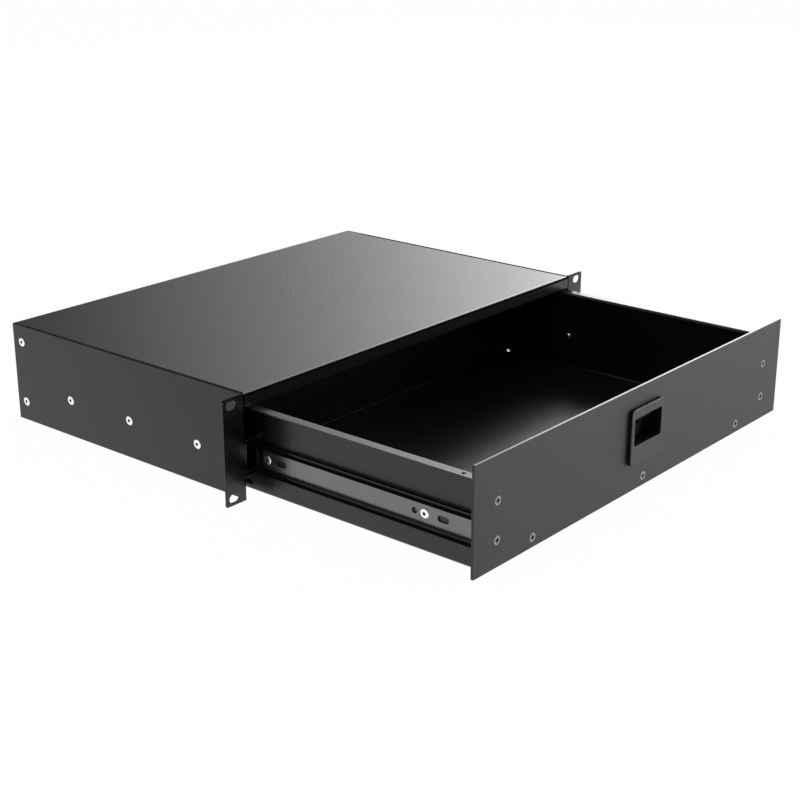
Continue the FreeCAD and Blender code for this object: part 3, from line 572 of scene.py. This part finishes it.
def copies(master, places):
    """Copies a piece to each place, points its Z along a direction and joins the copies."""
    made = []
    for spot, direction in places:
        only(master)
        bpy.ops.object.duplicate()
        piece = bpy.context.object
        piece.rotation_euler = Vector(direction).to_track_quat("Z", "Y").to_euler()
        piece.location = spot
        bpy.ops.object.transform_apply(location=True, rotation=True, scale=True)
        made.append(piece)
    bpy.data.objects.remove(master)
    bpy.ops.object.select_all(action="DESELECT")
    for piece in made:
        piece.select_set(True)
    bpy.context.view_layer.objects.active = made[0]
    if len(made) > 1:
        bpy.ops.object.join()
    return bpy.context.object


def middle(low, high):
    return (low + high) / 2.0


def along_y(box, y, sense):
    """The middle of a box across and up, at a given y, with the way that the piece points."""
    centre = middle(*box)
    return ((centre.x, y, centre.z), (0.0, sense, 0.0))


print("helpers ready")

# %% [markdown]
# ## Blind rivets
# A blind rivet is a soft aluminium tube with a steel stem. Pulling the stem swells the tail behind the
# sheet until the stem snaps, which leaves a small hole in the middle of the domed head. The inside of
# that hole, on the head and at the tail's end, is painted black as shade. The packed heads are 1.8 mm
# high. These have a flatter dome on the same seat.

# %% Blind rivets
PACKED_HEAD = 0.0018
TAIL_LENGTH = 0.0024
MANDREL_HOLE = 0.0013
HEAD_PROFILE = [
    (0.0035, 0.0), (0.0039, 0.00015), (0.0040, 0.00028), (0.00394, 0.0004), (0.0034, 0.00054),
    (0.0028, 0.00062), (0.0021, 0.00069), (0.0016, 0.00073), (0.00138, 0.00074),
    (MANDREL_HOLE, 0.0007), (MANDREL_HOLE - 0.0001, 0.0002),
]


def rivet(grip):
    back = -grip - TAIL_LENGTH
    tail = [
        (0.0012, back + 0.0010), (0.00135, back + 0.0001), (0.0017, back), (0.0023, back + 0.0002),
        (0.0028, back + 0.0007), (0.0029, back + 0.0012), (0.0027, back + 0.0018),
        (0.0022, back + 0.0023), (0.0020, -grip), (0.0020, 0.0),
    ]
    shape = smooth(turned("rivet", tail + HEAD_PROFILE), 55.0)

    # The faces inside the stem's hole, on the head and at the tail's end, take black painted as shade.
    def in_painted_hole_shade(centre, reach):
        return reach < MANDREL_HOLE + 0.0001 and (centre.z > 0.00015 or centre.z < back + 0.0011)

    return mark(shape, in_painted_hole_shade)


for side, outward in (("left_", -1.0), ("right_", 1.0)):
    for group in ("slide_rivets", "rear_rivets", "rail_rivets"):
        boxes = solids_of(side + group)
        places = []
        for low, high in boxes:
            centre = middle(low, high)
            face = low.x + PACKED_HEAD if outward < 0 else high.x - PACKED_HEAD
            places.append(((face, centre.y, centre.z), (outward, 0.0, 0.0)))
        grip = boxes[0][1].x - boxes[0][0].x - PACKED_HEAD - TAIL_LENGTH
        heads = copies(rivet(grip), places)
        finish_piece(heads, side + group, second=shade_black, faces=marked(heads))
        print(heads.name, len(places), "rivets, grip", round(grip * 1000.0, 2), "mm")

# %% [markdown]
# ## Flat-head screws
# The panel is held by flat-head screws with a cross recess. The head is turned with its cone and a
# few thread ridges, and the recess is cut with a small four-armed tool that narrows towards its tip.

# %% The cross recess tool
CLEAR = 0.0001


def cross_tool(span, width, depth):
    """Two crossed bars that narrow downwards, standing on Z with their wide end above zero."""
    bars = []
    for turn in (0.0, 90.0):
        bpy.ops.object.select_all(action="DESELECT")
        bpy.ops.mesh.primitive_cube_add(size=1.0, location=(0.0, 0.0, (CLEAR - depth) / 2.0))
        bar = bpy.context.object
        bar.scale = (span, width, depth + CLEAR)
        bar.rotation_euler = (0.0, 0.0, math.radians(turn))
        bpy.ops.object.transform_apply(location=True, rotation=True, scale=True)
        bpy.ops.object.mode_set(mode="EDIT")
        bpy.ops.mesh.select_all(action="DESELECT")
        skin = bmesh.from_edit_mesh(bar.data)
        for face in skin.faces:
            face.select_set(face.normal.z < -0.9)
        bmesh.update_edit_mesh(bar.data)
        bpy.ops.transform.resize(value=(0.5, 0.5, 1.0), center_override=(0.0, 0.0, -depth))
        bpy.ops.object.mode_set(mode="OBJECT")
        bars.append(bar)
    return bars


def cut_recess(piece, span, width, depth, face):
    for bar in cross_tool(span, width, depth):
        bar.location.z = face
        only(bar)
        bpy.ops.object.transform_apply(location=True, rotation=True, scale=True)
        cut = piece.modifiers.new("recess", "BOOLEAN")
        cut.operation = "DIFFERENCE"
        cut.solver = "EXACT"
        cut.object = bar
        apply_modifiers(piece)
        bpy.data.objects.remove(bar)
    return piece


print("tool ready")

# %% [markdown]
# ## The panel screws
# One screw is turned and cut, then copied to every hole. The faces of its recess are marked, so that
# they take black painted as shade.

# %% The panel screws
screw_boxes = solids_of("panel_screws")
SCREW_LENGTH = screw_boxes[0][1].y - screw_boxes[0][0].y
HEAD_RADIUS = 0.0036
SHANK_RADIUS = 0.00195
THREAD_PITCH = 0.0007
screw_rings = [(0.0011, -SCREW_LENGTH), (0.0016, -SCREW_LENGTH + 0.0004)]
thread = -SCREW_LENGTH + 0.0006
while thread < -0.0034:
    screw_rings += [(SHANK_RADIUS, thread), (SHANK_RADIUS - 0.00028, thread + THREAD_PITCH / 2.0)]
    thread += THREAD_PITCH
screw_rings += [
    (SHANK_RADIUS, -0.0026), (SHANK_RADIUS, -0.00175), (HEAD_RADIUS - 0.00025, -0.00025),
    (HEAD_RADIUS - 0.0001, -0.0002), (HEAD_RADIUS - 0.0001, -0.0001), (HEAD_RADIUS - 0.00025, 0.0),
    (0.0029, 0.0),
]
RECESS_SPAN = 0.0044
RECESS_WIDTH = 0.0014
RECESS_DEPTH = 0.0016


# The faces inside the cross recess, which take black painted as shade.
def in_painted_recess_shade(centre, reach):
    return reach < RECESS_SPAN / 2.0 + 0.0001 and -RECESS_DEPTH - 0.0001 < centre.z < -0.00002


screw = cut_recess(turned("screw", screw_rings, 40), RECESS_SPAN, RECESS_WIDTH, RECESS_DEPTH, 0.0)
mark(smooth(screw, 30.0), in_painted_recess_shade)
screws = copies(screw, [along_y(pair, pair[0].y, -1.0) for pair in screw_boxes])
finish_piece(screws, "panel_screws", second=shade_black, faces=marked(screws))
print(len(screw_boxes), "screws,", round(SCREW_LENGTH * 1000.0, 1), "mm long")

# %% [markdown]
# ## Clinch nuts
# A clinch nut is pressed into a punched hole, so the thin tray flange holds a full thread. It is a
# plain ring with a chamfered rim and a threaded bore, turned as a closed ring.

# %% The clinch nuts
nut_boxes = solids_of("panel_clinch_nuts")
NUT_HEIGHT = nut_boxes[0][1].y - nut_boxes[0][0].y
nut_rings = [
    (0.00235, 0.0), (0.00375, 0.0), (0.00375, NUT_HEIGHT - 0.0004), (0.0034, NUT_HEIGHT),
    (0.0024, NUT_HEIGHT),
]
thread = NUT_HEIGHT - 0.0003
while thread > 0.0006:
    nut_rings += [(0.00206, thread), (0.0023, thread - THREAD_PITCH / 2.0)]
    thread -= THREAD_PITCH
nut_rings += [(0.00206, 0.0003), (0.00235, 0.0)]
nut = smooth(turned("nut", nut_rings, 32, ring_shaped=True), 30.0)
nuts = copies(nut, [along_y(pair, pair[0].y, 1.0) for pair in nut_boxes])
finish_piece(nuts, "panel_clinch_nuts")
print(len(nut_boxes), "clinch nuts")

# %% [markdown]
# ## The slam latch
# The latch's body, bolt and finger bar are injection moulded. Mouldings have small even rounds on
# every edge that a finger meets, so these copies get a wider bevel than the sheet metal.

# %% The moulded latch pieces
RIM_DEPTH = 0.0006
POCKET_DEPTH = 0.004
SLANT_DEPTH = 0.0005
RIM_INSET = 0.002
bezel = soften(clean_copy("latch_bezel"), 0.00045, 3)
bezel_low, bezel_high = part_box("latch_bezel")


def in_painted_shade(face):
    """The bezel's sides, and everything in its pocket, which are painted nearly black as shade."""
    depth = face.center.y - bezel_low.y
    return depth > POCKET_DEPTH or (depth > RIM_DEPTH and abs(face.normal.y) < 0.7)


def is_painted_highlight(face):
    """The rounded edges that look to the left or upwards, which are painted paler as a highlight."""
    tilt = abs(face.normal.y)
    slant = face.center.y < bezel_low.y + SLANT_DEPTH and 0.2 < tilt < 0.97
    left = face.normal.x < -0.3 and face.center.x > bezel_low.x + RIM_INSET
    inner = face.center.z < bezel_high.z - RIM_INSET
    return slant and (left or (face.normal.z > 0.3 and (inner or tilt > 0.6)))


# The bezel's sides and pocket take black painted as shade.
dark = {face.index for face in bezel.data.polygons if in_painted_shade(face)}
finish_piece(bezel, "latch_bezel", second=latch_painted_shade, faces=dark)
# The rims that look left or upwards take a paler colour painted as a highlight.
bezel.data.materials.append(latch_painted_highlight)
for face in bezel.data.polygons:
    if is_painted_highlight(face):
        face.material_index = 2
# The bolt and the finger bar in the pocket take black painted as shade.
for node in ("latch_bolt", "latch_trigger"):
    moulded = finish_piece(soften(clean_copy(node), 0.0004, 3), node, finish=latch_painted_shade)
    print(moulded.name, len(moulded.data.polygons), "faces")
print(bezel.name, len(bezel.data.polygons), "faces")

# %% [markdown]
# ## Latch springs
# A coil spring is one round wire wound at a steady pitch. A small circle stands beside the axis and
# the Screw modifier sweeps it round and up. When the real latch is pulled, its coil is pressed down
# towards its fixed foot; the coil made here stays at rest.

# %% The latch springs
WIRE_RADIUS = 0.0003
spring_boxes = solids_of("latch_springs")
spring_low, spring_high = spring_boxes[0]
COIL_HEIGHT = spring_high.z - spring_low.z
COIL_RADIUS = (spring_high.x - spring_low.x) / 2.0 - WIRE_RADIUS
COIL_TURNS = 5
WIRE_SIDES = 10
STEPS_PER_TURN = 24
bpy.ops.object.select_all(action="DESELECT")
bpy.ops.mesh.primitive_circle_add(
    vertices=WIRE_SIDES,
    radius=WIRE_RADIUS,
    fill_type="NGON",
    rotation=(math.radians(90.0), 0.0, 0.0),
)
coil = bpy.context.object
bpy.ops.object.transform_apply(location=True, rotation=True, scale=True)
bpy.ops.object.mode_set(mode="EDIT")
bpy.ops.mesh.select_all(action="SELECT")
bpy.ops.transform.translate(value=(COIL_RADIUS, 0.0, WIRE_RADIUS))
bpy.ops.mesh.delete(type="ONLY_FACE")
bpy.ops.object.mode_set(mode="OBJECT")
wind = coil.modifiers.new("wind", "SCREW")
wind.axis = "Z"
wind.angle = math.radians(360.0)
wind.screw_offset = (COIL_HEIGHT - 2.0 * WIRE_RADIUS) / COIL_TURNS
wind.iterations = COIL_TURNS
wind.steps = STEPS_PER_TURN
wind.render_steps = STEPS_PER_TURN
apply_modifiers(coil)
bpy.ops.object.mode_set(mode="EDIT")
bpy.ops.mesh.select_all(action="DESELECT")
bpy.ops.mesh.select_non_manifold()
bpy.ops.mesh.edge_face_add()
bpy.ops.mesh.select_all(action="SELECT")
bpy.ops.mesh.normals_make_consistent(inside=False)
bpy.ops.object.mode_set(mode="OBJECT")
feet = [((middle(*pair).x, middle(*pair).y, pair[0].z), (0.0, 0.0, 1.0)) for pair in spring_boxes]
springs = finish_piece(copies(smooth(coil, 60.0), feet), "latch_springs")
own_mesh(springs)

# %% [markdown]
# ## Pan-head screws behind the latch
# The plate behind the latch is held by four small pan-head screws, turned and recessed as before.

# %% The latch screws
latch_boxes = solids_of("latch_screws")
PAN_HEIGHT = 0.0016
pan_back = -(latch_boxes[0][1].y - latch_boxes[0][0].y - PAN_HEIGHT)
pan_rings = [
    (0.0007, pan_back), (0.0012, pan_back + 0.0006), (0.0013, pan_back + 0.001), (0.0013, 0.0),
    (0.0024, 0.0), (0.0025, 0.0001), (0.0025, 0.0007), (0.0023, 0.0012), (0.0019, 0.00148),
    (0.0013, PAN_HEIGHT), (0.0008, PAN_HEIGHT),
]
PAN_SPAN = 0.0026
PAN_SLOT = 0.0007
PAN_DEPTH = 0.001
pan = cut_recess(turned("pan_screw", pan_rings, 32), PAN_SPAN, PAN_SLOT, PAN_DEPTH, PAN_HEIGHT)
pan_places = [along_y(pair, pair[1].y - PAN_HEIGHT, 1.0) for pair in latch_boxes]
finish_piece(copies(smooth(pan, 35.0), pan_places), "latch_screws")
print(len(latch_boxes), "latch screws")

# %% [markdown]
# ## Bearing balls
# A ball made from a cube has no poles: each face is divided evenly and then pushed out to a sphere,
# so the polish looks the same from every side.

# %% The balls
BALL_CUTS = 7
for side in ("left_", "right_"):
    ball_boxes = solids_of(side + "balls")
    ball_radius = (ball_boxes[0][1].z - ball_boxes[0][0].z) / 2.0
    bpy.ops.object.select_all(action="DESELECT")
    bpy.ops.mesh.primitive_cube_add(size=ball_radius)
    ball = bpy.context.object
    bpy.ops.object.mode_set(mode="EDIT")
    bpy.ops.mesh.select_all(action="SELECT")
    bpy.ops.mesh.subdivide(number_cuts=BALL_CUTS)
    bpy.ops.object.mode_set(mode="OBJECT")
    cast = ball.modifiers.new("round", "CAST")
    cast.cast_type = "SPHERE"
    cast.factor = 1.0
    cast.size = ball_radius
    cast.use_radius_as_size = False
    apply_modifiers(ball)
    balls = copies(smooth(ball, 60.0), [(middle(*pair), (0.0, 0.0, 1.0)) for pair in ball_boxes])
    finish_piece(balls, side + "balls")
    print(balls.name, len(ball_boxes), "balls of radius", round(ball_radius * 1000.0, 2), "mm")

# %% [markdown]
# ## Rubber stops
# A soft block at the closed end of each outer rail takes the bump when the drawer is pushed home.

# %% The rubber stops
for node in ("left_rail_bumper", "right_rail_bumper"):
    stop = finish_piece(soften(clean_copy(node), 0.0006, 3), node)
    print(stop.name, len(stop.data.polygons), "faces")

# %% [markdown]
# ## Floor, backdrop and light
# The drawer stands on a plain white sweep. The floor looks white to the camera and in reflections,
# and it is painted matt for all other light.

# %% The floor
FLOOR_DROP = 0.0002
FLOOR_SIZE = 14.0
WHITE_SHARE = 0.985
bpy.ops.object.select_all(action="DESELECT")
bpy.ops.mesh.primitive_plane_add(size=FLOOR_SIZE, location=(0.0, 0.0, cad_low.z - FLOOR_DROP))
floor = bpy.context.object
floor.name = "floor"
bpy.ops.object.transform_apply(location=True, rotation=True, scale=True)
floor_paint, tree, shader = start_material("floor_paint")
shader.inputs["Base Color"].default_value = (0.9, 0.9, 0.9, 1.0)
shader.inputs["Roughness"].default_value = 0.9
shader.inputs["Specular IOR Level"].default_value = 0.0
glow = add_node(tree, "ShaderNodeEmission", Color=(1.0, 1.0, 1.0, 1.0), Strength=1.0)
path = add_node(tree, "ShaderNodeLightPath")
seen = add_node(tree, "ShaderNodeMath", operation="MAXIMUM")
seen_all = add_node(tree, "ShaderNodeMath", operation="MAXIMUM")
share = add_node(tree, "ShaderNodeMath", operation="MULTIPLY")
share.inputs[1].default_value = WHITE_SHARE
mix = add_node(tree, "ShaderNodeMixShader")
tree.links.new(path.outputs["Is Camera Ray"], seen.inputs[0])
tree.links.new(path.outputs["Is Glossy Ray"], seen.inputs[1])
tree.links.new(seen.outputs[0], seen_all.inputs[0])
tree.links.new(path.outputs["Is Transmission Ray"], seen_all.inputs[1])
tree.links.new(seen_all.outputs[0], share.inputs[0])
tree.links.new(share.outputs[0], mix.inputs["Fac"])
tree.links.new(shader.outputs["BSDF"], mix.inputs[1])
tree.links.new(glow.outputs["Emission"], mix.inputs[2])
tree.links.new(mix.outputs["Shader"], tree.nodes["Material Output"].inputs["Surface"])
floor.data.materials.append(floor_paint)
floor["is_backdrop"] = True
print("floor at z", round(cad_low.z - FLOOR_DROP, 5))

# %% [markdown]
# ## The room
# The room is plain white to the camera. The gloss shows a wide soft light that stands low at the
# rack's right, a little behind it, and a dim room to the left of that, so the black top brightens
# evenly from one side to the other. The lift curve makes the light stronger a little higher up, where
# the open tray's floor reflects it.

# %% The room
LIGHT_TURN = 78.0
LIGHT_RISE = 14.0
light_way = Vector((
    math.sin(math.radians(LIGHT_TURN)) * math.cos(math.radians(LIGHT_RISE)),
    math.cos(math.radians(LIGHT_TURN)) * math.cos(math.radians(LIGHT_RISE)),
    math.sin(math.radians(LIGHT_RISE)),
))
ROOM_LIGHT = 0.62
GLOSS_PEAK = 6.9
GLOSS_CURVE = [
    (0.0, 0.065), (1.0, 0.85), (0.50, 0.055), (0.62, 0.05), (0.72, 0.05), (0.76, 0.075),
    (0.80, 0.16), (0.83, 0.23), (0.86, 0.34), (0.89, 0.57), (0.92, 0.90), (0.95, 0.98),
]
LIFT_CURVE = [
    (0.0, 0.333), (1.0, 1.0), (0.30, 0.333), (0.35, 0.39), (0.40, 0.70), (0.45, 0.90),
    (0.58, 0.90), (0.75, 0.70),
]


def shape_curve(node, spots):
    """Gives a curve node its spots. The first two are its ends."""
    curve = node.mapping.curves[0]
    for index, spot in enumerate(spots):
        if index < 2:
            curve.points[index].location = spot
        else:
            curve.points.new(*spot)
    node.mapping.update()


world = bpy.data.worlds.new("studio")
bpy.context.scene.world = world
world.use_nodes = True
tree = world.node_tree
room = tree.nodes["Background"]
room.inputs["Color"].default_value = (1.0, 1.0, 1.0, 1.0)
room.inputs["Strength"].default_value = ROOM_LIGHT
white = add_node(tree, "ShaderNodeBackground", Color=(1.0, 1.0, 1.0, 1.0), Strength=1.0)
gloss = add_node(tree, "ShaderNodeBackground", Color=(1.0, 1.0, 1.0, 1.0))
ways = add_node(tree, "ShaderNodeTexCoord")
facing = add_node(tree, "ShaderNodeVectorMath", operation="DOT_PRODUCT")
facing.inputs[1].default_value = light_way
fade = add_node(tree, "ShaderNodeFloatCurve")
shape_curve(fade, GLOSS_CURVE)
height = add_node(tree, "ShaderNodeSeparateXYZ")
lift = add_node(tree, "ShaderNodeFloatCurve")
shape_curve(lift, LIFT_CURVE)
both = add_node(tree, "ShaderNodeMath", operation="MULTIPLY")
rise = add_node(tree, "ShaderNodeMath", operation="MULTIPLY")
rise.inputs[1].default_value = GLOSS_PEAK
path = add_node(tree, "ShaderNodeLightPath")
shiny = add_node(tree, "ShaderNodeMath", operation="MAXIMUM")
mix_shiny = add_node(tree, "ShaderNodeMixShader")
mix = add_node(tree, "ShaderNodeMixShader")
tree.links.new(ways.outputs["Generated"], facing.inputs[0])
tree.links.new(facing.outputs["Value"], fade.inputs["Value"])
tree.links.new(ways.outputs["Generated"], height.inputs[0])
tree.links.new(height.outputs["Z"], lift.inputs["Value"])
tree.links.new(fade.outputs["Value"], both.inputs[0])
tree.links.new(lift.outputs["Value"], both.inputs[1])
tree.links.new(both.outputs[0], rise.inputs[0])
tree.links.new(rise.outputs[0], gloss.inputs["Strength"])
tree.links.new(path.outputs["Is Glossy Ray"], shiny.inputs[0])
tree.links.new(path.outputs["Is Transmission Ray"], shiny.inputs[1])
tree.links.new(shiny.outputs[0], mix_shiny.inputs["Fac"])
tree.links.new(room.outputs["Background"], mix_shiny.inputs[1])
tree.links.new(gloss.outputs["Background"], mix_shiny.inputs[2])
tree.links.new(path.outputs["Is Camera Ray"], mix.inputs["Fac"])
tree.links.new(mix_shiny.outputs["Shader"], mix.inputs[1])
tree.links.new(white.outputs["Background"], mix.inputs[2])
tree.links.new(mix.outputs["Shader"], tree.nodes["World Output"].inputs["Surface"])
print("room light", ROOM_LIGHT)

# %% [markdown]
# ## The lamps
# Three soft lamps light the drawer: a wide one overhead, one far to the right that gives the top its
# highlight, and a low one near the right that lights the front panel.

# %% The lamps
def soft_lamp(name, place, aim, size, watts):
    bpy.ops.object.select_all(action="DESELECT")
    bpy.ops.object.light_add(type="AREA", location=place)
    lamp = bpy.context.object
    lamp.name = name
    lamp.data.shape = "RECTANGLE"
    lamp.data.size, lamp.data.size_y = size
    lamp.data.energy = watts
    way = Vector(aim) - Vector(place)
    lamp.rotation_euler = way.to_track_quat("-Z", "Y").to_euler()
    return lamp


LAMPS = [
    ("overhead", (-0.2, -0.1, 2.2), (0.0, 0.0, 0.0), (1.6, 1.6), 14.0),
    ("far_right", (2.6, 0.9, 1.0), (0.0, 0.1, 0.0), (1.2, 1.6), 16.0),
    ("near_right", (0.7, -1.0, 0.13), (0.05, -0.23, 0.0), (0.6, 0.26), 5.2),
]
lamps = [soft_lamp(*settings) for settings in LAMPS]
print("lamps:", [lamp.name for lamp in lamps])

# %% Finish
low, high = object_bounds()
